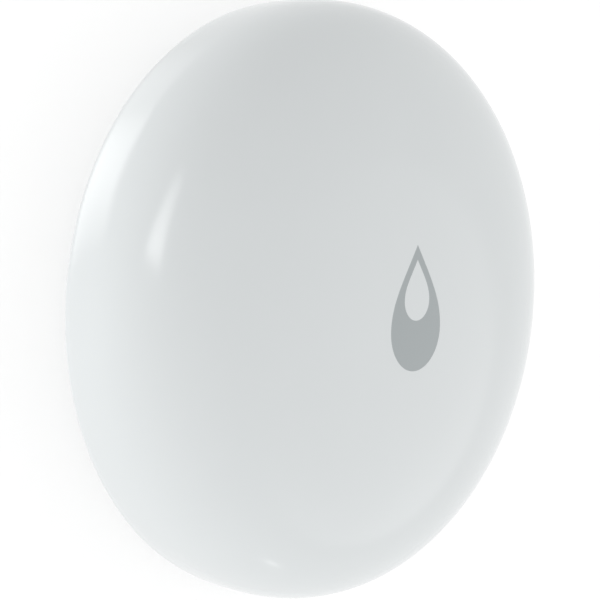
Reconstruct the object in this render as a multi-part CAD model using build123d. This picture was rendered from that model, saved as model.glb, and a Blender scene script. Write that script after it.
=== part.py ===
from build123d import *

import os

# A round battery water leak sensor, lying on its two steel probes with its face up.
# Millimetres. The origin is on the floor below the middle, +Z is up through the face,
# and +Y is the way the drop on the face points.

# Housing
body_diameter = 50.0
total_height = 15.0
stand_height = 0.5
widest_height = 3.9
underside_diameter = 49.0
face_wall = 1.2
side_wall = 1.9
dome_fullness_share = 0.705
tuck_fullness_share = 0.73

# Light window, a drop with a smaller drop left out of it
drop_height = 10.2
drop_width = 6.2
drop_shift = 0.2
drop_depth = 0.35
drop_gap_height = 4.9
drop_gap_width = 3.1
drop_gap_rise = 4.1
drop_bulb_share = 0.335
drop_shoulder_share = 0.22
drop_tip_run_share = 0.28
drop_tip_slope_share = 0.62

# Base plate
base_clearance = 0.1
base_thickness = 1.6
rim_wall = 1.6
rim_wall_rise = 2.7
base_edge_chamfer = 0.25

# Seal between base plate and shell, and the snap beads above it
seal_edge_chamfer = 0.2
housing_seal_section = 0.96
housing_seal_slack = 0.02
housing_seal_rise = 1.0
bead_count = 6
bead_span = 24.0
bead_half_height = 0.45
bead_proud = 0.3
bead_root = 0.3
bead_drop = 0.6
bead_groove_clearance = 0.1

# Nubs that share the floor with the probes
nub_radius = 1.5
nub_chamfer = 0.15

# Coin cell
cell_diameter = 20.0
cell_thickness = 3.2
cell_cap_inset = 1.2
cell_can_wall = 0.25
cell_gasket_rise = 0.15
cell_cap_rise = 0.1
cell_edge_radius = 0.5
cell_rim_width = 0.35

# Battery cover
cover_flange = 1.8
cover_flange_lap = 1.1
cover_clearance = 0.1
cover_seat_gap = 0.05
cover_floor = 1.5
cover_edge_chamfer = 0.3
cup_clearance = 0.25
cup_wall = 1.65
cup_height = 2.9
cell_rib_radius = 6.0
cell_rib_width = 1.0
cell_rib_height = 1.0
cell_seat_gap = 0.05
coin_slot_length = 16.0
coin_slot_width = 2.0
coin_slot_depth = 0.9
coin_slot_chamfer = 0.2

# Ring seal on the flange's edge
cover_seal_section = 0.8
cover_seal_slack = 0.05
cover_seal_rise = 0.55

# Thread lugs on the cover's neck and their channels in the well
lug_count = 3
lug_lead = 14.4
lug_span = 20.0
lug_reach = 1.0
lug_height = 0.8
lug_rise = 0.9
lug_root = 0.3
lug_clearance = 0.1
lug_stop_gap = 1.0
lug_first_angle = 40.0

# Battery well
well_wall = 1.1
well_rise = 3.0

# Circuit board, held on posts that stand on the well's wall
board_side_gap = 3.1
board_thickness = 1.0
board_above_cell = 1.0
board_notch_width = 3.0
board_notch_depth = 1.4
board_post_radius = 1.5
board_post_root = 0.3
board_post_count = 3
board_post_first_angle = 90.0

# Screws that hold the board
board_screw_radius = 0.7
board_screw_clearance = 0.05
board_screw_length = 2.9
board_screw_tip_gap = 0.2
board_screw_head_radius = 1.35
board_screw_head_height = 0.8
board_hole_radius = 0.9
screw_drive_width = 0.4
screw_drive_length = 1.8
screw_drive_depth = 0.35

# Probes
probe_head_radius = 2.2
probe_head_height = 1.1
probe_head_edge = 0.25
probe_shank_radius = 1.2
probe_shank_length = 5.1
probe_socket_width = 1.5
probe_socket_depth = 0.7
probe_hole_clearance = 0.12
probe_seal_section = 0.6
probe_seal_slack = 0.02
probe_boss_radius = 2.9
probe_insert_radius = 1.9
probe_insert_height = 3.2
probe_insert_flange = 0.4
probe_insert_flange_radius = 2.3
probe_insert_groove_width = 0.5
probe_insert_groove_depth = 0.25
insert_bore_clearance = 0.04

# Sheet metal contacts
contact_thickness = 0.2
contact_width = 2.4
contact_bend = 0.4
contact_gap = 0.05
contact_pad_length = 2.6
probe_contact_gap = 0.2
probe_contact_run = 1.2
probe_contact_slope = 1.0
spring_pad_length = 3.0
spring_run = 5.0
spring_tip_length = 2.2
spring_fingers_spread = 3.4
clip_angle = 30.0
clip_leg_gap = 0.35

# Button travel and the switch below it
button_travel = 0.25
switch_width = 4.5
switch_height = 1.4
switch_cover_thickness = 0.2
switch_tab_length = 0.8
switch_tab_width = 2.0
switch_well_radius = 1.6
switch_well_floor = 0.3
switch_hole_clearance = 0.1
plunger_radius = 1.1
plunger_flange_radius = 1.45
plunger_flange_height = 0.3
plunger_top_gap = 0.05
plunger_proud = 0.35
dome_radius = 1.4
dome_rise = 0.2
dome_thickness = 0.08

# Light guide that carries the press and the light
guide_gap = 0.05
guide_cap_radius = 5.5
guide_cap_height = 0.7
guide_stem_radius = 1.3
guide_pipe_radius = 0.8
guide_fillet = 0.4
guide_fillet_limit_share = 0.5
led_distance = 3.9
led_length = 1.6
led_width = 0.8
led_height = 0.6
led_base_height = 0.25
led_spare_gap = 0.15

# Board components
chip_width = 7.0
chip_height = 0.85
chip_place_shares = (-0.7, 0.25)
chip_dot_radius = 0.4
chip_dot_inset = 1.1
chip_dot_depth = 0.1
crystal_length = 3.2
crystal_width = 2.5
crystal_height = 0.7
crystal_lid_height = 0.2
crystal_lid_inset = 0.2
crystal_place_shares = (-0.7, -0.25)
capacitor_count = 5
capacitor_length = 1.6
capacitor_width = 0.8
capacitor_height = 0.8
capacitor_end = 0.3
capacitor_pitch = 1.9
capacitor_place_shares = (0.62, 0.38)
resistor_count = 6
resistor_length = 1.0
resistor_width = 0.5
resistor_height = 0.35
resistor_pitch = 1.3
resistor_place_shares = (0.62, -0.38)

# Antenna, a strip of sheet metal that stands on the board and follows its edge
antenna_inset = 3.2
antenna_width = 1.2
antenna_height_share = 0.36
antenna_thickness = 0.25
antenna_first_angle = 232.0
antenna_span = 76.0
antenna_feed_share = 0.22
antenna_foot_span = 4.0

# Cutting tools run past the solids they cut by this much
overrun = 1.0

# Sizes that follow from those above
body_radius = body_diameter / 2
underside_radius = underside_diameter / 2
shell_bore = body_radius - side_wall
ceiling_height = total_height - face_wall
base_radius = shell_bore - base_clearance
base_top = stand_height + base_thickness
rim_top = base_top + rim_wall_rise
housing_seal_low = stand_height + housing_seal_rise
bead_height = rim_top - bead_drop
cell_radius = cell_diameter / 2
cell_cap_radius = cell_radius - cell_cap_inset
cover_flange_top = stand_height + cover_flange
counterbore_top = cover_flange_top + cover_seat_gap
cover_floor_top = stand_height + cover_floor
cell_bottom = cover_floor_top + cell_rib_height + cell_seat_gap
cell_top = cell_bottom + cell_thickness
cup_bore = cell_radius + cup_clearance
neck_radius = cup_bore + cup_wall
cup_top = cover_floor_top + cup_height
neck_bore = neck_radius + cover_clearance
lug_low = cover_flange_top + lug_rise
lug_tip_radius = neck_radius + lug_reach
channel_radius = lug_tip_radius + lug_clearance
cover_radius = lug_tip_radius + cover_flange_lap
counterbore_radius = cover_radius + cover_clearance
well_radius = counterbore_radius + well_wall
well_top = base_top + well_rise
probe_ring_radius = (counterbore_radius + base_radius) / 2
board_bottom = cell_top + board_above_cell
board_top = board_bottom + board_thickness
board_radius = shell_bore - board_side_gap
board_post_ring_radius = (neck_bore + well_radius) / 2
switch_top = board_top + switch_height
plunger_top = switch_top + switch_cover_thickness + plunger_proud
guide_cap_low = ceiling_height - guide_gap - guide_cap_height
led_top = board_top + led_height
antenna_radius = board_radius - antenna_inset
antenna_height = antenna_height_share * (ceiling_height - board_top)
probe_head_top = probe_head_height
probe_seal_top = probe_head_top + probe_seal_section + probe_seal_slack
insert_low = probe_seal_top + probe_insert_flange
insert_top = insert_low + probe_insert_height

RISING = (Align.CENTER, Align.CENTER, Align.MIN)


def post(radius, low, high):
    """A round bar up the middle, from one height to another."""
    return Pos(0, 0, low) * Cylinder(radius, high - low, align=RISING)


def tube(outer_radius, inner_radius, low, high):
    """A round bar with a hole right through it."""
    return post(outer_radius, low, high) - post(inner_radius, low - overrun, high + overrun)


def block(length, width, low, high):
    """A plain block up the middle, from one height to another."""
    return Pos(0, 0, low) * Box(length, width, high - low, align=RISING)


def spun(outline):
    """Turn an outline of radius and height about the upright axis."""
    return revolve(Plane.XZ * outline, Axis.Z)


def around(piece, count, first_angle):
    """Copies of a piece at even angles round the upright axis."""
    return [Rot(0, 0, first_angle + turn * 360 / count) * piece for turn in range(count)]


def joined(pieces):
    """Separate solids kept together as one node."""
    return Compound(children=[solid for piece in pieces for solid in piece.solids()])


def quarter_curve(radius, low, high):
    """The dome's profile, level over the middle and upright at its widest."""
    rise = high - low
    return Bezier(
        (0, high),
        (dome_fullness_share * radius, high),
        (radius, low + dome_fullness_share * rise),
        (radius, low),
    )


def dome_solid(radius, low, high, foot):
    """A solid dome on an upright wall that reaches down to its foot."""
    curve = quarter_curve(radius, low, high)
    walls = Polyline((radius, low), (radius, foot), (0, foot), (0, high))
    return spun(make_face([curve, walls]))


def outer_body():
    """The housing's outside, tucked in below its widest ring."""
    tuck_depth = widest_height - stand_height
    tuck_in = body_radius - underside_radius
    dome = quarter_curve(body_radius, widest_height, total_height)
    tuck = Bezier(
        (body_radius, widest_height),
        (body_radius, widest_height - tuck_fullness_share * tuck_depth),
        (underside_radius + tuck_fullness_share * tuck_in, stand_height),
        (underside_radius, stand_height),
    )
    closing = Polyline((underside_radius, stand_height), (0, stand_height), (0, total_height))
    return spun(make_face([dome, tuck, closing]))


def drop_face(height, width, low):
    """The outline of a falling drop, its tip towards +Y."""
    half = width / 2
    bulb = low + drop_bulb_share * height
    tip = low + height
    run = drop_tip_run_share * height
    side = Bezier(
        (0, tip),
        (drop_tip_slope_share * run, tip - run),
        (half, bulb + drop_shoulder_share * height),
        (half, bulb),
    )
    belly = EllipticalCenterArc((0, bulb), half, bulb - low, start_angle=270, arc_size=90)
    right = [side, belly]
    left = [edge.mirror(Plane.YZ) for edge in right]
    return make_face(right + left)


def drop_prism():
    """The window's shape, from its seat in the face up past the dome."""
    low = drop_shift - drop_height / 2
    outline = drop_face(drop_height, drop_width, low)
    outline -= drop_face(drop_gap_height, drop_gap_width, low + drop_gap_rise)
    return Pos(0, 0, total_height - drop_depth) * extrude(outline, drop_depth + overrun)


def ridge(inner_radius, outer_radius, half_height):
    """The outline of a snap ridge, ramped above and below."""
    foot = (inner_radius, bead_height - half_height)
    head = (inner_radius, bead_height + half_height)
    return make_face(Polyline(foot, (outer_radius, bead_height), head, close=True))


def front_shell():
    """One moulding: the face, the side and the edge that meets the base plate."""
    cavity = dome_solid(shell_bore, widest_height, ceiling_height, stand_height - overrun)
    groove = spun(
        ridge(
            base_radius,
            base_radius + bead_proud + bead_groove_clearance,
            bead_half_height + bead_groove_clearance,
        )
    )
    return outer_body() - cavity - groove - drop_prism()


def drop_window():
    """Grey window that the light shines through, level with the face around it."""
    return outer_body() & drop_prism()


def light_guide():
    """Clear moulding under the face: its stem presses the switch, its pipe meets the light."""
    under_face = dome_solid(shell_bore, widest_height, ceiling_height - guide_gap, stand_height)
    cap = post(guide_cap_radius, guide_cap_low, total_height) & under_face
    stem = post(guide_stem_radius, plunger_top, guide_cap_low + guide_cap_height / 2)
    pipe_low = led_top + button_travel + led_spare_gap
    pipe = Pos(led_distance, 0, 0) * post(guide_pipe_radius, pipe_low, guide_cap_low + guide_cap_height / 2)
    guide = cap + stem + pipe
    roots = guide.edges().filter_by(GeomType.CIRCLE)
    roots = roots.filter_by(lambda edge: abs(edge.center().Z - guide_cap_low) < guide_gap)
    roots = roots.filter_by(lambda edge: edge.radius < guide_cap_radius)
    return fillet(roots, min(guide_fillet, guide_fillet_limit_share * (guide_cap_low - plunger_top)))


def switch_body():
    """Plastic block of the switch, with a round well for its dome and plunger."""
    body = block(switch_width, switch_width, board_top, switch_top)
    return body - post(switch_well_radius, board_top + switch_well_floor, switch_top + overrun)


def switch_cover():
    """Bent steel plate that closes the switch, a tab down each side."""
    outer = switch_width + switch_cover_thickness * 2
    top = switch_top + switch_cover_thickness
    plate = block(outer, switch_width, switch_top, top)
    tab = block(switch_cover_thickness, switch_tab_width, switch_top - switch_tab_length, switch_top)
    tab_place = (outer - switch_cover_thickness) / 2
    cover = plate + Pos(tab_place, 0, 0) * tab + Pos(-tab_place, 0, 0) * tab
    return cover - post(plunger_radius + switch_hole_clearance, switch_top - overrun, top + overrun)


def switch_plunger():
    """Small stepped button, held in by the switch's cover."""
    flange_top = switch_top - plunger_top_gap
    flange = post(plunger_flange_radius, flange_top - plunger_flange_height, flange_top)
    return flange + post(plunger_radius, flange_top - plunger_flange_height, plunger_top)


def switch_dome():
    """Thin snap dome below the plunger."""
    top = switch_top - plunger_top_gap - plunger_flange_height
    ball = (dome_radius ** 2 + dome_rise ** 2) / (2 * dome_rise)
    shell = Sphere(ball) - Sphere(ball - dome_thickness)
    return Pos(0, 0, top - ball) * (shell & post(dome_radius, ball - dome_rise, ball + overrun))


def status_led():
    """Light that shines up the guide's pipe: a block with a rounded lens on it."""
    base = block(led_width, led_length, board_top, board_top + led_base_height)
    lens = Pos(0, 0, board_top + led_base_height) * extrude(
        RectangleRounded(led_width, led_width + led_base_height, led_base_height),
        led_height - led_base_height,
    )
    return Pos(led_distance, 0, 0) * (base + lens)


def base_blank():
    """Base plate with its rim wall, before its bosses and holes."""
    disc = post(base_radius, stand_height, base_top)
    rim = tube(base_radius, base_radius - rim_wall, base_top, rim_top)
    well = post(well_radius, stand_height, well_top)
    return chamfer((disc + rim).faces().sort_by(Axis.Z).first.edges(), base_edge_chamfer) + well


def seal_groove():
    """Groove round the rim wall for the housing seal."""
    depth_radius = shell_bore - housing_seal_section - housing_seal_slack * 2
    high = housing_seal_low + housing_seal_section + housing_seal_slack * 2
    return tube(base_radius + overrun, depth_radius, housing_seal_low, high)


def snap_beads():
    """Beads that snap into the shell's groove."""
    slope = bead_half_height / bead_proud
    outline = ridge(
        base_radius - bead_root,
        base_radius + bead_proud,
        bead_half_height + slope * bead_root,
    )
    return around(revolve(Plane.XZ * outline, Axis.Z, bead_span), bead_count, -bead_span / 2)


def thread_band(inner_radius, outer_radius, middle_height, band_height, first_angle, span):
    """A length of square thread with the lugs' lead."""
    middle_radius = (inner_radius + outer_radius) / 2
    path = Helix(lug_lead, lug_lead * span / 360, middle_radius)
    section = Plane.XZ * Pos(middle_radius, 0) * Rectangle(outer_radius - inner_radius, band_height)
    return Pos(0, 0, middle_height) * Rot(0, 0, first_angle) * sweep(section, path, is_frenet=True)


def cover_lugs():
    """Short thread lugs round the cover's neck."""
    lug = thread_band(
        neck_radius - lug_root, lug_tip_radius, lug_low + lug_height / 2, lug_height, 0, lug_span
    )
    return around(lug, lug_count, lug_first_angle)


def lug_channels():
    """Channels that the lugs run down as the cover turns, open into the counterbore."""
    drop = lug_low + lug_height + lug_clearance * 2 - counterbore_top
    lead_in = drop * 360 / lug_lead
    channel = thread_band(
        neck_radius - lug_root,
        channel_radius,
        lug_low + lug_height / 2 - drop,
        lug_height + lug_clearance * 2,
        -lead_in,
        lead_in + lug_span + lug_stop_gap,
    )
    return around(channel, lug_count, lug_first_angle)


def probe_hole():
    """Stepped hole for one probe: head, seal, shank and the insert pressed in from above."""
    head = post(probe_head_radius + probe_hole_clearance, stand_height - overrun, probe_head_top)
    seal_radius = probe_shank_radius + probe_seal_section + probe_seal_slack * 2
    seal = post(seal_radius, probe_head_top - overrun, probe_seal_top)
    shank = post(probe_shank_radius + probe_hole_clearance, stand_height, insert_low + overrun)
    insert = post(probe_insert_radius, insert_low, insert_top + overrun)
    return head + seal + shank + insert


def on_probes(piece):
    """The same piece at both probes."""
    return around(Pos(probe_ring_radius, 0, 0) * piece, 2, 0)


def on_board_posts(piece):
    """The same piece at each post that carries the board."""
    return around(Pos(board_post_ring_radius, 0, 0) * piece, board_post_count, board_post_first_angle)


def screw_hole():
    """Hole that a board screw threads into, down through its post."""
    low = board_top - board_screw_length - board_screw_tip_gap
    return post(board_screw_radius + board_screw_clearance, low, board_bottom + overrun)


def base_plate():
    """Base: battery well with its thread channels, bosses, posts, rim wall and nubs."""
    base = base_blank()
    nub = chamfer(post(nub_radius, 0, stand_height).faces().sort_by(Axis.Z).first.edges(), nub_chamfer)
    for boss in on_probes(post(probe_boss_radius, stand_height, insert_top)):
        base += boss & post(base_radius, stand_height, insert_top)
    for feature in on_board_posts(post(board_post_radius, well_top - board_post_root, board_bottom)):
        base += feature
    for feature in around(Pos(probe_ring_radius, 0, 0) * nub, 2, 90):
        base += feature
    for feature in snap_beads():
        base += feature
    base -= seal_groove()
    base -= post(counterbore_radius, stand_height - overrun, counterbore_top)
    base -= post(neck_bore, stand_height, well_top + overrun)
    for channel in lug_channels():
        base -= channel
    for hole in on_probes(probe_hole()) + on_board_posts(screw_hole()):
        base -= hole
    return base


def ring_seal(outer_radius, low, section):
    """A lathe-cut rubber ring with broken edges."""
    ring = tube(outer_radius, outer_radius - section, low, low + section)
    return chamfer(ring.edges().filter_by(GeomType.CIRCLE), seal_edge_chamfer)


def housing_seal():
    """Rubber ring between the rim wall and the shell."""
    outer_radius = shell_bore - housing_seal_slack
    return ring_seal(outer_radius, housing_seal_low + housing_seal_slack, housing_seal_section)


def cover_seal_groove():
    """Groove round the cover's flange for its ring seal."""
    depth_radius = cover_radius - cover_seal_section
    low = stand_height + cover_seal_rise
    return tube(cover_radius + overrun, depth_radius, low, low + cover_seal_section + cover_seal_slack)


def cover_seal():
    """Rubber ring in the cover's flange."""
    low = stand_height + cover_seal_rise + cover_seal_slack / 2
    return ring_seal(cover_radius + cover_seal_slack, low, cover_seal_section)


def battery_cover():
    """Cup that carries the cell, with a coin slot below and thread lugs on its neck."""
    flange = post(cover_radius, stand_height, cover_flange_top)
    flange = chamfer(flange.faces().sort_by(Axis.Z).first.edges(), cover_edge_chamfer)
    cover = flange + post(neck_radius, stand_height, cup_top)
    cover -= post(cup_bore, cover_floor_top, cup_top + overrun)
    rib_top = cover_floor_top + cell_rib_height
    cover += tube(cell_rib_radius, cell_rib_radius - cell_rib_width, cover_floor_top, rib_top)
    for lug in cover_lugs():
        cover += lug
    mouth = Pos(0, 0, stand_height) * SlotOverall(coin_slot_length, coin_slot_width)
    cover -= extrude(mouth, coin_slot_depth) + extrude(mouth, -overrun)
    flare = extrude(offset(mouth, coin_slot_chamfer), coin_slot_chamfer, taper=45)
    return cover - flare - cover_seal_groove()


def cell_can():
    """The cell's steel can, its flat end down on the cover."""
    can = post(cell_radius, cell_bottom, cell_top - cell_cap_rise - cell_gasket_rise)
    can = fillet(can.faces().sort_by(Axis.Z).last.edges(), cell_rim_width)
    can = fillet(can.faces().sort_by(Axis.Z).first.edges(), cell_edge_radius)
    hollow = post(cell_radius - cell_can_wall - cell_rim_width, cell_bottom + cell_can_wall, cell_top)
    return can - hollow


def cell_cap():
    """The cell's smaller cap, up towards the spring."""
    cap = post(cell_cap_radius, cell_bottom + cell_can_wall, cell_top)
    return fillet(cap.faces().sort_by(Axis.Z).last.edges(), cell_edge_radius)


def cell_gasket():
    """Plastic ring between the cell's can and its cap."""
    outer_radius = cell_radius - cell_can_wall - cell_rim_width
    high = cell_top - cell_cap_rise - cell_edge_radius
    return tube(outer_radius, cell_cap_radius, cell_bottom + cell_can_wall, high)


def board_hole(radius):
    """A hole through the board."""
    return post(radius, board_bottom - overrun, board_top + overrun)


def circuit_board():
    """Round board with its screw holes, and a notch at each probe."""
    board = post(board_radius, board_bottom, board_top)
    notch = block(board_notch_depth * 2, board_notch_width, board_bottom - overrun, board_top + overrun)
    for cut in around(Pos(board_radius, 0, 0) * notch, 2, 0):
        board -= cut
    for cut in on_board_posts(board_hole(board_hole_radius)):
        board -= cut
    return board


def board_screws():
    """Small pan head screws that hold the board on its posts."""
    head_top = board_top + board_screw_head_height
    head = post(board_screw_head_radius, board_top, head_top)
    head = fillet(head.faces().sort_by(Axis.Z).last.edges(), board_screw_head_height / 2)
    drive = block(screw_drive_length, screw_drive_width, head_top - screw_drive_depth, head_top + overrun)
    screw = head + post(board_screw_radius, board_top - board_screw_length, board_top)
    return joined(on_board_posts(screw - drive - Rot(0, 0, 90) * drive))


def probe_screw():
    """Steel probe: a flat head that stands on the floor, and a shank up into its insert."""
    head = post(probe_head_radius, 0, probe_head_top)
    head = fillet(head.faces().sort_by(Axis.Z).first.edges(), probe_head_edge)
    hexagon = RegularPolygon(probe_socket_width / 2, side_count=6, major_radius=False)
    shank = post(probe_shank_radius, probe_head_top, probe_head_top + probe_shank_length)
    return head + shank - extrude(hexagon, probe_socket_depth) - extrude(hexagon, -overrun)


def probe_seals():
    """Rubber rings under the probes' heads."""
    outer_radius = probe_shank_radius + probe_seal_slack + probe_seal_section
    ring = ring_seal(outer_radius, probe_head_top + probe_seal_slack / 2, probe_seal_section)
    return joined(on_probes(ring))


def probe_inserts():
    """Brass inserts that the probes screw into, each with a flange and a grip groove."""
    body = post(probe_insert_radius, insert_low, insert_top)
    flange = post(probe_insert_flange_radius, insert_top, insert_top + probe_insert_flange)
    groove_low = (insert_low + insert_top - probe_insert_groove_width) / 2
    groove = tube(
        probe_insert_radius + overrun,
        probe_insert_radius - probe_insert_groove_depth,
        groove_low,
        groove_low + probe_insert_groove_width,
    )
    bore = post(probe_shank_radius + insert_bore_clearance, insert_low - overrun, insert_top + overrun)
    return joined(on_probes(body + flange - groove - bore))


def bent_strip(points, width):
    """A strip of contact metal bent along a path of radius and height."""
    path = FilletPolyline(*points, radius=contact_bend)
    outline = make_face(offset(path, amount=contact_thickness, side=Side.LEFT))
    return extrude(Plane.XZ * outline, width / 2, both=True)


def probe_contacts():
    """Strips that join each probe's insert to the underside of the board."""
    low = insert_top + probe_insert_flange
    high = board_bottom - contact_thickness
    outer = probe_ring_radius - probe_shank_radius - probe_contact_gap
    foot = outer - probe_contact_run
    pad = foot - probe_contact_slope
    points = [(pad - contact_pad_length, high), (pad, high), (foot, low), (outer, low)]
    strip = bent_strip(points, contact_width)
    return joined(around(strip, 2, 0))


def battery_spring():
    """Two springy fingers from the board's underside down to the cell's cap."""
    pad_height = board_bottom - contact_thickness
    tip_height = cell_top + contact_gap
    pad_end = -spring_run / 2
    points = [
        (pad_end - spring_pad_length, pad_height),
        (pad_end, pad_height),
        (spring_run / 2, tip_height),
        (spring_run / 2 + spring_tip_length, tip_height + contact_bend),
    ]
    finger = bent_strip(points, contact_width)
    offset_y = spring_fingers_spread / 2
    pad_middle = -(spring_run + spring_pad_length) / 2
    bridge = Pos(pad_middle, 0, 0) * block(spring_pad_length, spring_fingers_spread, pad_height, board_bottom)
    return Pos(0, offset_y, 0) * finger + Pos(0, -offset_y, 0) * finger + bridge


def positive_clip():
    """Clip from the board's underside down to the side of the cell's can."""
    pad_height = board_bottom - contact_thickness
    leg = cell_radius + contact_gap + contact_thickness
    points = [(leg, cup_top + clip_leg_gap), (leg, pad_height), (leg + contact_pad_length, pad_height)]
    return Rot(0, 0, clip_angle) * bent_strip(points, contact_width)


def on_board(shares, piece):
    """Put a component inside the ring of board screws, where its shares of the ring say."""
    return Pos(shares[0] * board_post_ring_radius, shares[1] * board_post_ring_radius) * piece


def radio_chip():
    """Square radio chip with a dot at its first pin."""
    chip = block(chip_width, chip_width, board_top, board_top + chip_height)
    dot_place = chip_width / 2 - chip_dot_inset
    dot = post(chip_dot_radius, board_top + chip_height - chip_dot_depth, board_top + chip_height + overrun)
    return on_board(chip_place_shares, chip - Pos(-dot_place, dot_place, 0) * dot)


def crystal():
    """Crystal in a small can with a raised lid."""
    body = block(crystal_length, crystal_width, board_top, board_top + crystal_height - crystal_lid_height)
    lid = block(
        crystal_length - crystal_lid_inset * 2,
        crystal_width - crystal_lid_inset * 2,
        board_top + crystal_height - crystal_lid_height,
        board_top + crystal_height,
    )
    return on_board(crystal_place_shares, body + lid)


def part_row(shares, piece, count, pitch):
    """A row of like components along Y, centred where its shares say."""
    first = -(count - 1) * pitch / 2
    return joined([on_board(shares, Pos(0, first + step * pitch) * piece) for step in range(count)])


def capacitors():
    """Row of capacitors, with ends a little thicker than their middles."""
    end_width = capacitor_width
    whole = block(capacitor_length, end_width, board_top, board_top + capacitor_height)
    middle_length = capacitor_length - capacitor_end * 2
    sleeve = block(middle_length, end_width + overrun, board_top, board_top + capacitor_height + overrun)
    core = block(
        middle_length,
        end_width - capacitor_end / 2,
        board_top,
        board_top + capacitor_height - capacitor_end / 4,
    )
    return part_row(capacitor_place_shares, whole - sleeve + core, capacitor_count, capacitor_pitch)


def resistors():
    """Row of flat chip resistors."""
    body = block(resistor_length, resistor_width, board_top, board_top + resistor_height)
    return part_row(resistor_place_shares, body, resistor_count, resistor_pitch)


def antenna():
    """Curved strip on two legs, one at its end and one where it is fed."""
    strip_low = board_top + antenna_height - antenna_thickness
    section = Rectangle(antenna_width, antenna_thickness)
    strip_place = Pos(antenna_radius, strip_low + antenna_thickness / 2)
    strip = revolve(Plane.XZ * strip_place * section, Axis.Z, antenna_span)
    leg_section = Pos(antenna_radius + (antenna_width - antenna_thickness) / 2, (board_top + strip_low) / 2)
    leg_section *= Rectangle(antenna_thickness, strip_low - board_top)
    leg = revolve(Plane.XZ * leg_section, Axis.Z, antenna_foot_span)
    feed = Rot(0, 0, antenna_feed_share * antenna_span) * leg
    return Rot(0, 0, antenna_first_angle) * (strip + leg + feed)


nodes = {
    "front_shell": front_shell(),
    "drop_window": drop_window(),
    "light_guide": light_guide(),
    "switch_body": switch_body(),
    "switch_cover": switch_cover(),
    "switch_plunger": switch_plunger(),
    "switch_dome": switch_dome(),
    "status_led": status_led(),
    "base_plate": base_plate(),
    "housing_seal": housing_seal(),
    "battery_cover": battery_cover(),
    "cover_seal": cover_seal(),
    "cell_can": cell_can(),
    "cell_cap": cell_cap(),
    "cell_gasket": cell_gasket(),
    "circuit_board": circuit_board(),
    "board_screws": board_screws(),
    "probe_screw_right": Pos(probe_ring_radius, 0, 0) * probe_screw(),
    "probe_screw_left": Pos(-probe_ring_radius, 0, 0) * probe_screw(),
    "probe_seals": probe_seals(),
    "probe_inserts": probe_inserts(),
    "probe_contacts": probe_contacts(),
    "battery_spring": battery_spring(),
    "positive_clip": positive_clip(),
    "radio_chip": radio_chip(),
    "crystal": crystal(),
    "capacitors": capacitors(),
    "resistors": resistors(),
    "antenna": antenna(),
}

os.makedirs("parts", exist_ok=True)
for name, solid in nodes.items():
    export_step(solid, f"parts/{name}.step")
    print(f"{name}: {solid.volume:.1f} cubic mm")
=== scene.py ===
# %% [markdown]
# # A round water leak sensor
# The sensor is a pale dome, 50 mm across, that lies on a floor on two steel probes.
# Its CAD model already has every solid in its place. This lesson loads that model as a
# fixed frame, remakes the pieces that have to look smooth, among them the face that bends
# under a press, gives each surface its own finish, and sets the light and the camera.

import math

import bmesh
import bpy
from mathutils import Matrix, Quaternion, Vector


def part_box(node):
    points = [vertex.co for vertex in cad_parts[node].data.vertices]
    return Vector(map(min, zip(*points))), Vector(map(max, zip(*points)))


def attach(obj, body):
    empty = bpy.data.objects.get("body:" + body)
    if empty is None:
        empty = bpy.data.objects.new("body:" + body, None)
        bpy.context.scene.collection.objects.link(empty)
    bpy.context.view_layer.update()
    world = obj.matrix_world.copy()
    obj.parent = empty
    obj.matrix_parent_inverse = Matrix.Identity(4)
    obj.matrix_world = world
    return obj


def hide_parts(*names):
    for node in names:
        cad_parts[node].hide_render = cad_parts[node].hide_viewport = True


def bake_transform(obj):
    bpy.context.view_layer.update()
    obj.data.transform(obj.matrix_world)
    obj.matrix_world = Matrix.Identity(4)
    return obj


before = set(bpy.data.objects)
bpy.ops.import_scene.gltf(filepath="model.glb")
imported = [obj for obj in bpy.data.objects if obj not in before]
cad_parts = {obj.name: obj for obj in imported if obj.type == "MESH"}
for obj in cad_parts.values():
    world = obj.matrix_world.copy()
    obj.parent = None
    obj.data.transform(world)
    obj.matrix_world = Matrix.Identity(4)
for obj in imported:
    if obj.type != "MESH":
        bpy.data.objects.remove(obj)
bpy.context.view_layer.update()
mm = 0.001

# %% [markdown]
# ## Sums on sockets
# A shader is a chain of nodes. Building each Math node by hand makes long code, so a
# small class wraps a node's output socket and gives it Python's own operators: writing
# `1 - mask * 0.2` then adds the Math nodes. Every other node comes from one method, `add`,
# so a finish reads as a list of what it is made of. Colours don't go through Math nodes,
# because those keep only a grey value; they are mixed by `blend_colours` below.

# %% A socket that can be summed, and a finish that holds the nodes
class Wire:
    """One output socket, with the sums that the finishes use."""

    def __init__(self, finish, socket):
        self.finish = finish
        self.socket = socket

    def maths(self, operation, first, second=0.0):
        return self.finish.add("ShaderNodeMath", {"operation": operation}, {0: first, 1: second})

    def __add__(self, other):
        return self.maths("ADD", self, other)

    def __radd__(self, other):
        return self.maths("ADD", other, self)

    def __sub__(self, other):
        return self.maths("SUBTRACT", self, other)

    def __rsub__(self, other):
        return self.maths("SUBTRACT", other, self)

    def __mul__(self, other):
        return self.maths("MULTIPLY", self, other)

    def __rmul__(self, other):
        return self.maths("MULTIPLY", other, self)

    def __pow__(self, other):
        return self.maths("POWER", self, other)

    def __rpow__(self, other):
        return self.maths("POWER", other, self)

    def __lt__(self, other):
        return self.maths("LESS_THAN", self, other)

    def __gt__(self, other):
        return self.maths("GREATER_THAN", self, other)

    def __abs__(self):
        return self.maths("ABSOLUTE", self)

    def at_least(self, other):
        return self.maths("MAXIMUM", self, other)

    def at_most(self, other):
        return self.maths("MINIMUM", self, other)

    def sine(self):
        return self.maths("SINE", self)


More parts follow.
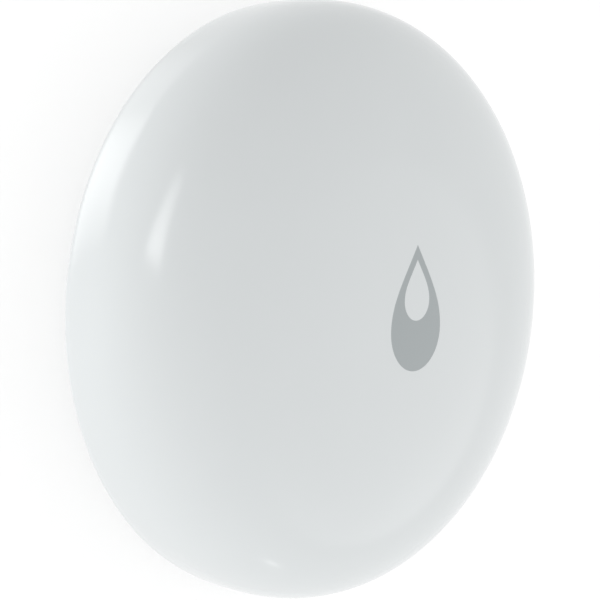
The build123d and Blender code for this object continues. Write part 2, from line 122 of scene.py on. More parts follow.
class Finish:
    """The node tree of one material, of the world or of a lamp."""

    def __init__(self, name, owner=None):
        self.owner = owner or bpy.data.materials.new(name)
        self.owner.use_nodes = True
        self.tree = self.owner.node_tree
        self.tree.nodes.clear()

    def add(self, kind, settings=None, sockets=None, output=0):
        """Adds any node: its settings first, then values or wires into its sockets."""
        made = self.tree.nodes.new(kind)
        for name, value in (settings or {}).items():
            setattr(made, name, value)
        for name, value in (sockets or {}).items():
            if isinstance(value, Wire):
                self.tree.links.new(value.socket, made.inputs[name])
            else:
                made.inputs[name].default_value = value
        return Wire(self, made.outputs[output]) if made.outputs else None

    def surface(self, sockets):
        """Ends a material in the Principled shader and hands the material over."""
        shader = self.add("ShaderNodeBsdfPrincipled", None, sockets)
        self.add("ShaderNodeOutputMaterial", None, {"Surface": shader})
        return self.owner


print("Wire and Finish are ready")

# %% [markdown]
# ## Patterns at real size
# A finish looks right only when its pattern has the size of the real one. Object
# coordinates are in metres here, and every piece sits at the origin, so a noise whose
# grains are a given number of metres across has one over that number as its scale.

# %% Noise, distances and colour mixing
def place(finish):
    """The point on the piece, in metres."""
    return finish.add("ShaderNodeTexCoord", output="Object")


def grains(finish, size, detail=2.0, stretch=(1, 1, 1)):
    """Cloudy noise from 0 to 1, whose grains are about this many metres across."""
    turned = finish.add("ShaderNodeMapping", sockets={"Vector": place(finish), "Scale": stretch})
    sockets = {"Vector": turned, "Scale": 1 / size, "Detail": detail}
    return finish.add("ShaderNodeTexNoise", sockets=sockets)


def along(finish, axis):
    """One of the point's three coordinates."""
    return finish.add("ShaderNodeSeparateXYZ", sockets={"Vector": place(finish)}, output=axis)


def from_axis(finish, x=0.0, y=0.0):
    """Distance from an upright line through x, y."""
    across, up = along(finish, "X") - x, along(finish, "Y") - y
    return (across * across + up * up) ** 0.5


def blend_colours(finish, mask, first, second):
    """First colour where the mask is 0, second where it is 1."""
    sockets = {0: mask, 6: first, 7: second}
    return finish.add("ShaderNodeMix", {"data_type": "RGBA"}, sockets, output=2)


def shade(value, colour):
    """A colour made lighter or darker by one number, with a full alpha."""
    return tuple(value * part for part in colour[:3]) + (1.0,)


def uneven(wire, span):
    """A wire of 0 to 1 turned into a swing of this size about nothing."""
    return (wire - 0.5) * span


def bumped(finish, height, depth):
    """A normal from a height of 0 to 1 that stands for this many metres."""
    sockets = {"Height": height, "Distance": depth, "Strength": 1.0}
    return finish.add("ShaderNodeBump", sockets=sockets)


print("Pattern helpers are ready")

# %% [markdown]
# ## Finishes
# The sensor has few materials, but each has its own surface. Moulded plastic is a little
# wavy and a little uneven in gloss; the hidden side of a moulding has the fine grain of
# its spark-cut mould. Steel shows the lines of its tool. Each finish is one short
# function, so a piece can be repainted by changing one call.

# %% Moulded plastic, smooth or grained
cloud_size, speck_size, wave_size = 9 * mm, 0.6 * mm, 2.6 * mm
wave_depth = 0.4e-6
plastic_tones = (0.985, 1.012)
speck_gloss, cloud_gloss = 0.06, 0.05


def moulded(name, colour, roughness, grain=0.0, grain_size=0.25 * mm, **fixed):
    """Injection-moulded plastic: cloudy colour, uneven gloss, faint waves, optional grain."""
    finish = Finish(name)
    cloud = grains(finish, cloud_size, 3)
    speck = grains(finish, speck_size, 2)
    wave = grains(finish, wave_size, 1)
    grit = grains(finish, grain_size, 3)
    darker, lighter = (shade(tone, colour) for tone in plastic_tones)
    sockets = {
        "Base Color": blend_colours(finish, cloud, darker, lighter),
        "Roughness": roughness + uneven(speck, speck_gloss) + uneven(cloud, cloud_gloss),
        "Normal": bumped(finish, wave * wave_depth + grit * grain, 1.0),
    }
    return finish.surface({**sockets, **fixed})


shell_colour = (0.632, 0.657, 0.662)
window_colour = (0.333, 0.363, 0.370)
base_colour = (0.60, 0.64, 0.645)
cover_colour = (0.575, 0.615, 0.62)
black_colour = (0.022, 0.022, 0.024)
gasket_colour = (0.26, 0.27, 0.28)
rubber_colour = (0.03, 0.03, 0.033)
window_grain = {"grain": 0.4e-6, "grain_size": 0.12 * mm}
black_grain = {"grain": 4e-6, "grain_size": 0.1 * mm}
rubber_grain = {"grain": 3e-6, "grain_size": 0.08 * mm}
shell_plastic = moulded("shell_plastic", shell_colour, roughness=0.15)
window_plastic = moulded("window_plastic", window_colour, roughness=0.30, **window_grain)
base_plastic = moulded("base_plastic", base_colour, roughness=0.52, grain=7e-6)
cover_plastic = moulded("cover_plastic", cover_colour, roughness=0.50, grain=7e-6)
black_plastic = moulded("black_plastic", black_colour, roughness=0.46, **black_grain)
gasket_plastic = moulded("gasket_plastic", gasket_colour, roughness=0.5, grain=2e-6)
seal_rubber = moulded("seal_rubber", rubber_colour, roughness=0.68, **rubber_grain)
print("Shell colour, linear:", shell_colour)

# %% [markdown]
# ## Metals
# The contacts, the cell and the crystal's lid are rolled sheet, so fine lines run one way
# over them: noise stretched along one axis. The probe screws and their brass inserts come
# off a lathe, so their lines are rings. A sine of the distance from the nearest screw's
# axis draws the rings of both screws with one finish.

# %% Metals: rolled, drawn and turned
patch_size, smear_size = 1.5 * mm, 0.5 * mm
rolled_tones, turned_tones = (0.93, 1.04), (0.95, 1.03)
stroke_gloss, patch_gloss, smear_gloss = 0.16, 0.1, 0.14
ring_share = 0.6


def metal(name, colour, roughness, lines, depth, stretch=(1, 1, 1)):
    """Plated or bare metal with fine lines one way and patches of duller gloss."""
    finish = Finish(name)
    stroke = grains(finish, lines, 3, stretch)
    patch = grains(finish, patch_size, 3)
    darker, lighter = (shade(tone, colour) for tone in rolled_tones)
    sockets = {
        "Base Color": blend_colours(finish, patch, darker, lighter),
        "Metallic": 1.0,
        "Roughness": roughness + uneven(stroke, stroke_gloss) + uneven(patch, patch_gloss),
        "Normal": bumped(finish, stroke, depth),
    }
    return finish.surface(sockets)


def turned_metal(name, colour, roughness, centres, pitch, depth):
    """Metal off a lathe: rings round the nearest of a few upright axes."""
    finish = Finish(name)
    nearest = from_axis(finish, *centres[0])
    for centre in centres[1:]:
        nearest = nearest.at_most(from_axis(finish, *centre))
    ring = ((nearest + along(finish, "Z")) * (2 * math.pi / pitch)).sine() * 0.5 + 0.5
    smear = grains(finish, smear_size, 3)
    darker, lighter = (shade(tone, colour) for tone in turned_tones)
    sockets = {
        "Base Color": blend_colours(finish, smear, darker, lighter),
        "Metallic": 1.0,
        "Roughness": roughness + uneven(smear, smear_gloss),
        "Normal": bumped(finish, ring * ring_share + smear * (1 - ring_share), depth),
    }
    return finish.surface(sockets)


probe_distance = 18.55 * mm
probe_axes = [(probe_distance, 0.0), (-probe_distance, 0.0)]
probe_steel = turned_metal(
    "probe_steel",
    (0.60, 0.60, 0.61),
    roughness=0.2,
    centres=probe_axes,
    pitch=0.16 * mm,
    depth=1.2e-6,
)
insert_brass = turned_metal(
    "insert_brass",
    (0.72, 0.52, 0.22),
    roughness=0.28,
    centres=probe_axes,
    pitch=0.2 * mm,
    depth=1.5e-6,
)
contact_steel = metal(
    "contact_steel",
    (0.62, 0.60, 0.55),
    roughness=0.27,
    lines=0.14 * mm,
    depth=0.8e-6,
    stretch=(0.12, 1, 1),
)
screw_steel = metal(
    "screw_steel",
    (0.58, 0.59, 0.60),
    roughness=0.3,
    lines=0.2 * mm,
    depth=1e-6,
)
cell_steel = metal(
    "cell_steel",
    (0.64, 0.64, 0.63),
    roughness=0.24,
    lines=0.12 * mm,
    depth=0.7e-6,
    stretch=(0.05, 1, 1),
)
crystal_metal = metal(
    "crystal_metal",
    (0.66, 0.64, 0.58),
    roughness=0.25,
    lines=0.1 * mm,
    depth=0.6e-6,
    stretch=(0.2, 1, 1),
)
print("Probe axes in mm:", [(round(x / mm, 2), round(y / mm, 2)) for x, y in probe_axes])

# %% [markdown]
# ## The circuit board and what sits on it
# A board is glass cloth under a green lacquer. Copper shows through it as lighter tracks
# that run side by side and turn square corners, small plated holes join its two sides,
# and bare rings of tinned copper lie round the screw holes. Drawing all that as geometry
# would cost many faces. A cell pattern gives it instead: where distance is measured along
# the axes, lines of equal distance from a cell's middle are nested squares, like tracks.

# %% Board laminate, chip parts and the clear guide
post_ring = 13.6 * mm
post_angles = (90, 210, 330)
track_pitch, track_block, track_share, track_scatter = 0.55 * mm, 6.5 * mm, 0.15, 0.9
zone_size, sheet_level, zone_gap = 7 * mm, 0.53, 0.012
hole_spacing, hole_scatter = 2.9 * mm, 0.75
hole_radius, hole_tin, screw_tin = 0.13 * mm, 0.29 * mm, 1.75 * mm
thread_size, thread_stretch = 0.35 * mm, 0.25
lacquer_roughness, thread_gloss = 0.3, 0.15
thread_relief, copper_relief, board_relief = 0.15, 0.5, 18e-6
dark_lacquer, light_lacquer = (0.006, 0.075, 0.028, 1), (0.010, 0.10, 0.04, 1)
# The near-black hole colour is painted shade: it stands in for the dark inside of each plated hole.
covered_copper, painted_hole_shade = (0.022, 0.165, 0.065, 1), (0.01, 0.02, 0.012, 1)
tinned_ring, tinned_end = (0.62, 0.6, 0.55, 1), (0.6, 0.6, 0.6, 1)
fired_grain, fired_tones, fired_gloss, fired_relief = 0.12 * mm, (0.85, 1.15), 0.15, 4e-6


def cell_distance(finish, size, measure, scatter):
    """Distance in metres from the nearest of some scattered points on the board."""
    sockets = {"Vector": place(finish), "Scale": 1 / size, "Randomness": scatter}
    settings = {"voronoi_dimensions": "2D", "distance": measure}
    return finish.add("ShaderNodeTexVoronoi", settings, sockets, output="Distance") * size


def board_copper(finish):
    """1 where copper lies under the lacquer: tracks in some zones, whole sheets in others."""
    nested = cell_distance(finish, track_block, "CHEBYCHEV", track_scatter)
    lines = (nested * (2 * math.pi / track_pitch)).sine() > track_share
    zone = grains(finish, zone_size, 0)
    sheet = zone > sheet_level
    edge = abs(zone - sheet_level) > zone_gap
    return (lines * (1 - sheet) + sheet) * edge


def board_finish():
    """Green lacquer over copper and woven glass, with screw rings, and plated holes painted dark
    inside as painted shade.
    """
    finish = Finish("board_laminate")
    copper = board_copper(finish)
    warp = grains(finish, thread_size, 2, (1, thread_stretch, 1))
    weft = grains(finish, thread_size, 2, (thread_stretch, 1, 1))
    weave = warp * weft
    plated = cell_distance(finish, hole_spacing, "EUCLIDEAN", hole_scatter)
    hole = plated < hole_radius
    tin = (plated < hole_tin) - hole
    for angle in post_angles:
        turn = math.radians(angle)
        screw = from_axis(finish, post_ring * math.cos(turn), post_ring * math.sin(turn))
        tin = (screw < screw_tin) + tin
    tin = tin.at_most(1.0)
    lacquer = blend_colours(finish, weave, dark_lacquer, light_lacquer)
    covered = blend_colours(finish, copper, lacquer, covered_copper)
    # Painted shade: each plated hole is filled with a near-black colour where a real hole would be
    # dark inside.
    with_hole_shade = blend_colours(finish, hole, covered, painted_hole_shade)
    relief = copper * copper_relief + weave * thread_relief - hole
    sockets = {
        "Base Color": blend_colours(finish, tin, with_hole_shade, tinned_ring),
        "Metallic": tin,
        "Roughness": lacquer_roughness + weave * thread_gloss,
        "Normal": bumped(finish, relief, board_relief),
    }
    return finish.surface(sockets)


def tipped(name, middle_x, half_length, body_colour, gloss):
    """A row of chip parts: fired ceramic between two tinned ends."""
    finish = Finish(name)
    end = abs(along(finish, "X") - middle_x) > half_length
    fired = grains(finish, fired_grain, 3)
    darker, lighter = (shade(tone, body_colour) for tone in fired_tones)
    body = blend_colours(finish, fired, darker, lighter)
    sockets = {
        "Base Color": blend_colours(finish, end, body, tinned_end),
        "Metallic": end,
        "Roughness": gloss + uneven(fired, fired_gloss),
        "Normal": bumped(finish, fired, fired_relief),
    }
    return finish.surface(sockets)


board_laminate = board_finish()
row_share = 0.62
row_middle = row_share * post_ring
capacitor_bare, resistor_bare = 0.5 * mm, 0.3 * mm
capacitor_colour, resistor_colour = (0.34, 0.22, 0.12), (0.02, 0.02, 0.022)
capacitor_ceramic = tipped(
    "capacitor_ceramic", row_middle, capacitor_bare, capacitor_colour, gloss=0.4
)
resistor_ceramic = tipped(
    "resistor_ceramic", row_middle, resistor_bare, resistor_colour, gloss=0.25
)
led_colour, clear_colour = (0.82, 0.78, 0.55), (0.92, 0.94, 0.95)
led_grain = {"grain": 1e-6, "grain_size": 0.1 * mm}
see_through = {"Transmission Weight": 0.9, "IOR": 1.49}
led_resin = moulded("led_resin", led_colour, roughness=0.2, **led_grain)
clear_plastic = moulded("clear_plastic", clear_colour, roughness=0.12, **see_through)
print("Chip rows at x =", round(row_middle / mm, 2), "mm")

# %% [markdown]
# ## Every CAD piece gets its finish
# The solids inside are seen when the battery cover comes down, and from below, so none of
# them keeps the plain colour that it was loaded with.

# %% Paint the CAD nodes
finishes = {
    "light_guide": clear_plastic,
    "switch_body": black_plastic,
    "switch_cover": contact_steel,
    "switch_plunger": black_plastic,
    "switch_dome": contact_steel,
    "status_led": led_resin,
    "base_plate": base_plastic,
    "housing_seal": seal_rubber,
    "battery_cover": cover_plastic,
    "cover_seal": seal_rubber,
    "cell_can": cell_steel,
    "cell_cap": cell_steel,
    "cell_gasket": gasket_plastic,
    "circuit_board": board_laminate,
    "board_screws": screw_steel,
    "probe_screw_right": probe_steel,
    "probe_screw_left": probe_steel,
    "probe_seals": seal_rubber,
    "probe_inserts": insert_brass,
    "probe_contacts": contact_steel,
    "battery_spring": contact_steel,
    "positive_clip": contact_steel,
    "radio_chip": black_plastic,
    "crystal": crystal_metal,
    "capacitors": capacitor_ceramic,
    "resistors": resistor_ceramic,
    "antenna": contact_steel,
    "front_shell": shell_plastic,
    "drop_window": window_plastic,
}


def paint(piece, material):
    """Gives every material slot of a piece this finish."""
    if not piece.material_slots:
        piece.data.materials.append(material)
    for slot in piece.material_slots:
        slot.material = material


for name, material in finishes.items():
    paint(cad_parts[name], material)
print("Painted", len(finishes), "of", len(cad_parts), "CAD nodes")

# %% [markdown]
# ## The shell
# The real shell is one moulding: a dome that runs over a round edge into a side that tucks
# in at the floor. Its outline is two curves. The same curves made the CAD solid, so the
# new shell fits it exactly, but with far more and better shaped faces: one outline is
# spun about the upright axis. A dome made by hand from a sphere would not have the flat
# middle and full shoulder that this one has.

# %% The outline's two curves
body_low, body_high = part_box("front_shell")
body_radius = (body_high.x - body_low.x) / 2
foot, crown = body_low.z, body_high.z
widest = 3.9 * mm
foot_radius = 24.5 * mm
face_wall = 1.2 * mm
bore = 23.1 * mm
dome_fullness = 0.705
tuck_fullness = 0.73
dome_steps, tuck_steps, hollow_steps = 56, 14, 40


def weighted(weights, pairs):
    """The sum of some pairs of numbers, each pair times its weight."""
    return tuple(sum(w * pair[axis] for w, pair in zip(weights, pairs)) for axis in (0, 1))


def curve_points(corners, count):
    """Points along a cubic curve through its four control points."""
    points = []
    for step in range(count + 1):
        t = step / count
        weights = ((1 - t) ** 3, 3 * t * (1 - t) ** 2, 3 * t * t * (1 - t), t ** 3)
        points.append(weighted(weights, corners))
    return points


def dome_corners(radius, low, high):
    """Control points of a dome, level at the crown and upright where it is widest."""
    return [
        (0, high),
        (dome_fullness * radius, high),
        (radius, low + dome_fullness * (high - low)),
        (radius, low),
    ]


tuck = curve_points(
    [
        (body_radius, widest),
        (body_radius, widest - tuck_fullness * (widest - foot)),
        (foot_radius + tuck_fullness * (body_radius - foot_radius), foot),
        (foot_radius, foot),
    ],
    tuck_steps,
)
outer_corners = dome_corners(body_radius, widest, crown)
dome = curve_points(outer_corners, dome_steps)
hollow = curve_points(dome_corners(bore, widest, crown - face_wall), hollow_steps)
print("Shell radius and height in mm:", round(body_radius / mm, 3), round((crown - foot) / mm, 3))

# %% Spin the outline into a shell
same_point = 1e-7


def lathe(name, outline, steps=192):
    """Spins an outline of radius and height a full turn about the upright axis."""
    mesh = bmesh.new()
    row = [mesh.verts.new((radius, 0, height)) for radius, height in outline]
    edges = [mesh.edges.new(pair) for pair in zip(row, row[1:])]
    bmesh.ops.spin(
        mesh,
        geom=row + edges,
        cent=(0, 0, 0),
        axis=(0, 0, 1),
        angle=2 * math.pi,
        steps=steps,
        use_merge=True,
    )
    bmesh.ops.remove_doubles(mesh, verts=mesh.verts, dist=same_point)
    bmesh.ops.recalc_face_normals(mesh, faces=mesh.faces)
    return finished(name, mesh)


def finished(name, mesh, sharp=math.radians(32)):
    """Turns a bmesh into an object at the origin, smooth except across sharp edges."""
    for face in mesh.faces:
        face.smooth = True
    for edge in mesh.edges:
        edge.smooth = len(edge.link_faces) == 2 and edge.calc_face_angle(0) < sharp
    data = bpy.data.meshes.new(name)
    mesh.to_mesh(data)
    mesh.free()
    piece = bpy.data.objects.new(name, data)
    bpy.context.scene.collection.objects.link(piece)
    return piece


groove_low, groove_high, groove_depth = 3.24 * mm, 3.79 * mm, 0.3 * mm
groove = [(bore, groove_low), (bore + groove_depth, groove_high)]
outline = dome + tuck[1:] + [(bore, foot)] + groove + hollow[::-1]
shell = lathe("smooth_shell", outline)
print("Shell faces:", len(shell.data.polygons))

# %% [markdown]
# ## The drop window
# The drop on the face is a grey light window, let into a shallow pocket and level with the
# dome. It could be painted on with a mask, but then it would have no edge to catch the
# light. Here the drop's outline is filled and raised into a prism. Cutting the shell with
# the prism makes the pocket, and what the prism shares with a dome makes the window.

# %% The drop's outline, and prisms made from it
drop_height, drop_width, drop_shift = 10.2 * mm, 6.2 * mm, 0.2 * mm
pocket_depth = 0.35 * mm
gap_height, gap_width, gap_rise = 4.9 * mm, 3.1 * mm, 4.1 * mm
bulb_share, shoulder_share, tip_run_share, tip_slope_share = 0.335, 0.22, 0.28, 0.62


def drop_outline(height, width, low, count=28):
    """Points round a falling drop whose tip points towards +Y."""
    bulb, tip, half = low + bulb_share * height, low + height, width / 2
    run = tip_run_share * height
    corners = [
        (0, tip),
        (tip_slope_share * run, tip - run),
        (half, bulb + shoulder_share * height),
        (half, bulb),
    ]
    side = curve_points(corners, count)
    turns = [math.pi / 2 * step / count for step in range(1, count + 1)]
    belly = [(half * math.cos(turn), bulb - (bulb - low) * math.sin(turn)) for turn in turns]
    right = side + belly
    return right + [(-x, y) for x, y in right[-2:0:-1]]


def drop_prism(name, low, high, inset=0.0):
    """The drop with the smaller drop left out, as an upright prism."""
    bottom = drop_shift - drop_height / 2
    outside = drop_outline(drop_height, drop_width, bottom)
    left_out = drop_outline(gap_height, gap_width, bottom + gap_rise)
    mesh = bmesh.new()
    for loop in (outside, left_out):
        ring = [mesh.verts.new((x, y, low)) for x, y in loop]
        for pair in zip(ring, ring[1:] + ring[:1]):
            mesh.edges.new(pair)
    bmesh.ops.triangle_fill(mesh, use_beauty=True, edges=mesh.edges[:])
    if inset:
        rim = bmesh.ops.inset_region(mesh, faces=mesh.faces[:], thickness=inset, use_even_offset=True)
        bmesh.ops.delete(mesh, geom=rim["faces"], context="FACES")
    raised = bmesh.ops.extrude_face_region(mesh, geom=mesh.faces[:])
    lifted = [item for item in raised["geom"] if isinstance(item, bmesh.types.BMVert)]
    bmesh.ops.translate(mesh, verts=lifted, vec=(0, 0, high - low))
    bmesh.ops.recalc_face_normals(mesh, faces=mesh.faces)
    return finished(name, mesh)


def cut(piece, cutter, operation):
    """Applies a boolean to a piece and clears the cutter away."""
    modifier = piece.modifiers.new("cut", "BOOLEAN")
    modifier.operation = operation
    modifier.object = cutter
    modifier.solver = "EXACT"
    bpy.context.view_layer.update()
    whole = piece.evaluated_get(bpy.context.evaluated_depsgraph_get())
    data = bpy.data.meshes.new_from_object(whole)
    piece.modifiers.clear()
    piece.data = data
    bpy.data.objects.remove(cutter)


window_fit = 0.02 * mm
window_sink = 0.006 * mm
pocket_floor = crown - pocket_depth
prism_top = crown + mm
face_part = dome[:24]
cut(shell, drop_prism("pocket", pocket_floor, prism_top), "DIFFERENCE")
window = lathe("drop_light_window", face_part + [(0, face_part[-1][1])])
cut(window, drop_prism("blank", pocket_floor + window_fit, prism_top, window_fit), "INTERSECT")
window.data.transform(Matrix.Translation((0, 0, -window_sink)))
print("Window size in mm:", [round(size / mm, 2) for size in window.dimensions])

# %% [markdown]
# ## Shading the cut dome
# A boolean leaves long thin faces round its cut, and their averaged normals would show as
# streaks in the gloss. The dome's true normal is known at every point, because it follows
# from the curve, so it is written onto the corners that lie on the dome. Pocket walls keep
# their own flat normals.

# %% True normals for the dome
on_dome_within = 0.004 * mm


def dome_normal(point, sink=0.0):
    """The dome's outward direction at a point on it, or None off the dome."""
    radius = math.hypot(point.x, point.y)
    if point.z < widest:
        return None
    for (r0, z0), (r1, z1) in zip(dome, dome[1:]):
        if r0 - 1e-9 <= radius <= r1 + 1e-9:
            share = (radius - r0) / (r1 - r0)
            if abs(z0 + share * (z1 - z0) - sink - point.z) > on_dome_within:
                return None
            return slope_normal(point, radius)
    return None


def slope_normal(point, radius):
    """The curve's normal where it has this radius, turned to the point's side."""
    if radius < same_point:
        return Vector((0, 0, 1))
    low, high = 0.0, 1.0
    for _ in range(40):
        t = (low + high) / 2
        reach = 3 * t * (1 - t) ** 2 * dome_fullness + 3 * t * t * (1 - t) + t ** 3
        low, high = (t, high) if reach * body_radius < radius else (low, t)
    legs = [(b[0] - a[0], b[1] - a[1]) for a, b in zip(outer_corners, outer_corners[1:])]
    weights = ((1 - t) ** 2, 2 * t * (1 - t), t * t)
    run, rise = weighted(weights, legs)
    out = Vector((-rise, run)).normalized()
    return Vector((out.x * point.x / radius, out.x * point.y / radius, out.y))


def shade_dome(piece, sink=0.0):
    """Writes the dome's own normals on the faces that lie on it."""
    mesh = piece.data
    known = [dome_normal(vertex.co, sink) for vertex in mesh.vertices]
    normals, count = [], 0
    for face in mesh.polygons:
        on_dome = all(known[index] is not None for index in face.vertices)
        count += on_dome
        for index in face.vertices:
            normals.append(known[index] if on_dome else Vector((0, 0, 0)))
    mesh.normals_split_custom_set(normals)
    return count


print("Shell faces on the dome:", shade_dome(shell))
print("Window faces on the dome:", shade_dome(window, window_sink))

# %% [markdown]
# ## The shell and window in the CAD pieces' place
# A press on the middle of the real face bends it by a quarter of a millimetre and works
# the switch below: near the floor the face stays with the housing, at the crown it goes with
# the button. Here the new shell and window get their finishes, and the CAD solids they stand for are
# hidden.

# %% Paint the shell and window, and hide the CAD solids they replace
paint(shell, shell_plastic)
paint(window, window_plastic)
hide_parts("front_shell")
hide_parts("drop_window")
for piece in (shell, window):
    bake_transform(piece)

# %% [markdown]
# ## Marks for the battery cover
# A cover that turns needs marks, or nobody knows when it is shut. The cover has one
# moulded dot. On the base, a dot stands where the cover is shut and a ring stands where
# its lugs come free. They are too small to matter in the CAD model, so they are made here:
# each is a little outline, spun on the sensor's axis and then moved to its place.

# %% Shut and open marks
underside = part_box("battery_cover")[0].z
mark_height, mark_sink, mark_bevel = 0.15 * mm, 0.05 * mm, 0.05 * mm
shut_angle = 90
free_turn = 46
open_angle = shut_angle - free_turn
mark_steps = 40
mark_plastics = {"cover": (cover_plastic, "cover_plastic"), "root": (base_plastic, "base_plastic")}


def mark(name, body, angle, distance, outer, inner=0.0):
    """A low dot or ring on the underside, at this angle and distance from the axis."""
    material, slot = mark_plastics[body]
    low, high = underside - mark_height, underside + mark_sink
    rim = [(outer - mark_bevel, low), (outer, low + mark_bevel), (outer, high)]
    middle = [(0, high), (0, low)]
    if inner:
        middle = [(inner, high), (inner, low + mark_bevel), (inner + mark_bevel, low)]
    piece = lathe(name, rim + middle + rim[:1], mark_steps)
    turn = math.radians(angle)
    spot = (distance * math.cos(turn), distance * math.sin(turn), 0)
    piece.data.transform(Matrix.Translation(spot))
    paint(piece, material)
    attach(piece, body)
    return piece


dot_radius, ring_radius, ring_hole = 0.7 * mm, 1.0 * mm, 0.6 * mm
on_cover, beside_cover, ring_place = 12.3 * mm, 15.5 * mm, 15.6 * mm
cover_dot = mark("cover_dot", "cover", shut_angle, on_cover, dot_radius)
shut_dot = mark("shut_dot", "root", shut_angle, beside_cover, dot_radius)
open_ring = mark("open_ring", "root", open_angle, ring_place, ring_radius, ring_hole)
marks = (cover_dot, shut_dot, open_ring)
print("Faces in the three marks:", [len(piece.data.polygons) for piece in marks])

# %% [markdown]
# ## Floor and studio
# The sensor lies on a white floor in soft light. For the camera the floor is a sheet of
# milky glass over a white room: it shows the sensor's shadow, stays white without more
# light on the sensor, and lets the battery cover be seen when that comes down past it.
# From below it is clear, so the underside can be looked at, and light passes it, so that
# the underside isn't left in the dark.

# %% White floor
floor_radius = 2.5
milkiness = 0.42
floor_white, floor_glow = (0.97, 0.97, 0.97), 0.11


def floor_finish():
    """Milky white for a camera above it; clear for anything else."""
    finish = Finish("studio_floor")
    seen = finish.add("ShaderNodeLightPath", output="Is Camera Ray")
    back = finish.add("ShaderNodeNewGeometry", output="Backfacing")
    white = finish.add("ShaderNodeBsdfDiffuse", None, {"Color": shade(1.0, floor_white)})
    glow = finish.add("ShaderNodeEmission", None, {"Color": (1, 1, 1, 1), "Strength": floor_glow})
    milk = finish.add("ShaderNodeAddShader", None, {0: white, 1: glow})
    clear = finish.add("ShaderNodeBsdfTransparent", None, {"Color": (1, 1, 1, 1)})
    share = seen * (1 - back) * milkiness
    mixed = finish.add("ShaderNodeMixShader", None, {0: share, 1: clear, 2: milk})
    finish.add("ShaderNodeOutputMaterial", None, {"Surface": mixed})
    return finish.owner


def floor_disc(radius):
    """A round floor at height zero, facing up."""
    mesh = bmesh.new()
    bmesh.ops.create_circle(mesh, cap_ends=True, segments=96, radius=radius)
    bmesh.ops.recalc_face_normals(mesh, faces=mesh.faces)
    if mesh.faces[:][0].normal.z < 0:
        bmesh.ops.reverse_faces(mesh, faces=mesh.faces)
    return finished("studio_floor", mesh)


floor = floor_disc(floor_radius)
paint(floor, floor_finish())
print("Floor radius in m:", floor_radius)

# %% [markdown]
# ## Light from all round
# Most of the light in the photograph comes from a pale room, not from lamps. The world is
# that room: bright walls, a darker ceiling, a slow rise to the right, a low window on the
# left and a pale ground. Each is a sum over the direction, so no picture of a room is
# needed. The camera sees plain white in its place, and so do rays off a glossy surface,
# so the lamps alone draw the glints.

# %% World light
light_to_right, light_to_near = 0.755, 0.14
window_way_x, window_way_y = 0.94, 0.34
window_glow, window_lowness = 3.9, 3.0
far_wall_shadow, ground_glow = 0.09, 0.58


def world_light(wall, ceiling, ground):
    """Pale walls under a darker ceiling, brighter to the right, and a pale ground."""
    world = bpy.data.worlds.new("studio")
    bpy.context.scene.world = world
    finish = Finish("studio", world)
    camera, mirror, glass = (
        finish.add("ShaderNodeLightPath", output=kind)
        for kind in ("Is Camera Ray", "Is Glossy Ray", "Is Transmission Ray")
    )
    seen = finish.add("ShaderNodeClamp", None, {"Value": camera + mirror + glass})
    direction = finish.add("ShaderNodeTexCoord", output="Generated")
    x, y, z = (
        finish.add("ShaderNodeSeparateXYZ", None, {"Vector": direction}, output=axis)
        for axis in "XYZ"
    )
    left = (x * -window_way_x - y * window_way_y).at_least(0.0)
    low_window = (1 - abs(z)) ** window_lowness * left * left * window_glow
    far_wall = y.at_least(0.0) * y * far_wall_shadow
    slope = x * light_to_right
    sky = wall - z * (wall - ceiling) + slope - y * light_to_near + low_window - far_wall
    floor_light = left * ground_glow + ground
    level = sky + (z < 0.0) * (floor_light - sky)
    soft = finish.add("ShaderNodeBackground", None, {"Color": (1, 1, 1, 1), "Strength": level})
    white = finish.add("ShaderNodeBackground", None, {"Color": (1, 1, 1, 1), "Strength": 1.0})
    both = finish.add("ShaderNodeMixShader", None, {0: seen, 1: soft, 2: white})
    finish.add("ShaderNodeOutputWorld", None, {"Surface": both})
    return wall - (wall - ceiling) * 2 / 3


face_light = world_light(wall=1.06, ceiling=0.76, ground=0.69)
print("Light on the face from the walls and ceiling, 1 is white:", round(face_light, 2))

# %% [markdown]
# ## Lamps
# Each lamp is a softbox. A round one over the far edge of the face is brightest at its
# lower rim, and the face mirrors that rim as the faint arc near its own edge. One to the
# left, wide at one end and narrow at the other, draws the slanted glint on the shoulder,
# and a tiny one the streak at the foot of the picture. Two that shine up through the floor
# light the rim on the left; they fade to both ends, so their light has no edge.

# %% Softboxes
def direction_to(azimuth, elevation):
    """The way to a lamp, from its angles in degrees."""
    turn, rise = math.radians(azimuth), math.radians(elevation)
    flat = math.cos(rise)
    return Vector((flat * math.cos(turn), flat * math.sin(turn), math.sin(rise)))


def softbox(name, azimuth, elevation, distance, size, level, shape="RECTANGLE", up="Y", tilt=0):
    """A lamp sheet that faces the sensor; its level is how bright its face is, 1 is white."""
    toward = direction_to(azimuth, elevation)
    data = bpy.data.lights.new(name, "AREA")
    data.shape = shape
    data.size, data.size_y = size
    fill = math.pi / 4 if shape == "DISK" else 1.0
    data.energy = level * math.pi * size[0] * size[1] * fill
    lamp = bpy.data.objects.new(name, data)
    lamp.location = toward * distance
    spin = Quaternion((0, 0, 1), math.radians(tilt))
    lamp.rotation_euler = (toward.to_track_quat("Z", up) @ spin).to_euler()
    lamp.visible_camera = False
    bpy.context.scene.collection.objects.link(lamp)
    return data


def shade_lamp(data, profile):
    """Varies a lamp's glow over its face; the profile gets the place across and up, 0 to 1."""
    finish = Finish(data.name, data)
    spot = finish.add("ShaderNodeNewGeometry", output="Parametric")
    across, up = (
        finish.add("ShaderNodeSeparateXYZ", None, {"Vector": spot}, output=axis)
        for axis in "XY"
    )
    glow = finish.add("ShaderNodeEmission", None, {"Strength": profile(across, up).at_least(0.0)})
    finish.add("ShaderNodeOutputLight", None, {"Surface": glow})


def from_one_end(across, up):
    """Full at one end and fading evenly to nothing at the other."""
    return 1 - across


def from_the_middle(across, up):
    """Full half way across and fading to nothing at both ends."""
    return across * (1 - across) * 4


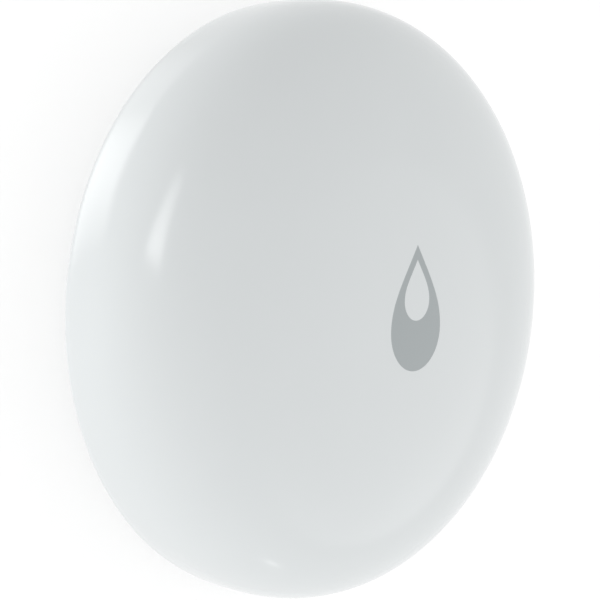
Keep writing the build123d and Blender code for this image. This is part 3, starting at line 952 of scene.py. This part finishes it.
def tapered(across, up):
    """Bright and wide at one end, fading to a narrow dim tip, with soft long edges."""
    tip_width, widening, edge_steepness = 0.5, 0.55, 2.4
    tip_glow, brightening, end_steepness = 0.35, 0.65, 5
    within = across * widening + tip_width - abs(up * 2 - 1)
    inside = (within * edge_steepness).at_least(0.0).at_most(1.0)
    end = ((1 - across) * end_steepness).at_most(1.0)
    return inside * end * (across * brightening + tip_glow)


far_softbox = softbox(
    "far_softbox",
    azimuth=-27,
    elevation=47,
    distance=0.6,
    size=(0.69, 0.69),
    level=0.55,
    shape="DISK",
    up="X",
)
left_softbox = softbox(
    "left_softbox",
    azimuth=152.5,
    elevation=20,
    distance=0.5,
    size=(0.28, 0.22),
    level=5.1,
    tilt=-7,
)
foot_softbox = softbox(
    "foot_softbox",
    azimuth=-73,
    elevation=9,
    distance=0.6,
    size=(0.04, 0.02),
    level=4.8,
)
rim_softbox = softbox(
    "rim_softbox",
    azimuth=134,
    elevation=-55,
    distance=0.6,
    size=(0.44, 0.27),
    level=2.3,
)
back_softbox = softbox(
    "back_softbox",
    azimuth=108,
    elevation=-50,
    distance=0.6,
    size=(0.60, 0.22),
    level=0.8,
)
shade_lamp(far_softbox, from_one_end)
shade_lamp(left_softbox, tapered)
shade_lamp(rim_softbox, from_the_middle)
shade_lamp(back_softbox, from_the_middle)
lamps = (far_softbox, left_softbox, foot_softbox, rim_softbox, back_softbox)
print("Lamp powers in W:", {data.name: round(data.energy, 3) for data in lamps})

# %% [markdown]
# ## Camera
# In the photograph the sensor stands on its edge. Here it lies on the floor, as it is
# used, so the camera is turned instead: it looks down on the face from the left, 48 degrees
# off its axis, and is rolled so that the drop stands upright in the picture. Its place and
# lens were found by fitting the dome's outline to the one in the photograph.

# %% Camera and view
camera_place = (-0.12646, 0.01480, 0.11717)
looked_at = Vector((-0.00573, 0.00054, 0.0075))
roll = math.radians(96.09)
camera_data = bpy.data.cameras.new("camera")
camera_data.lens = 121.8
camera_data.sensor_width = 36
camera_data.clip_start = 0.01
camera = bpy.data.objects.new("camera", camera_data)
camera.location = camera_place
aim = looked_at - camera.location
camera.rotation_mode = "QUATERNION"
camera.rotation_quaternion = aim.to_track_quat("-Z", "Y") @ Quaternion((0, 0, 1), roll)
bpy.context.scene.collection.objects.link(camera)
bpy.context.scene.camera = camera
bpy.context.scene.view_settings.view_transform = "Standard"
print("Camera distance in mm:", round(aim.length / mm, 1))
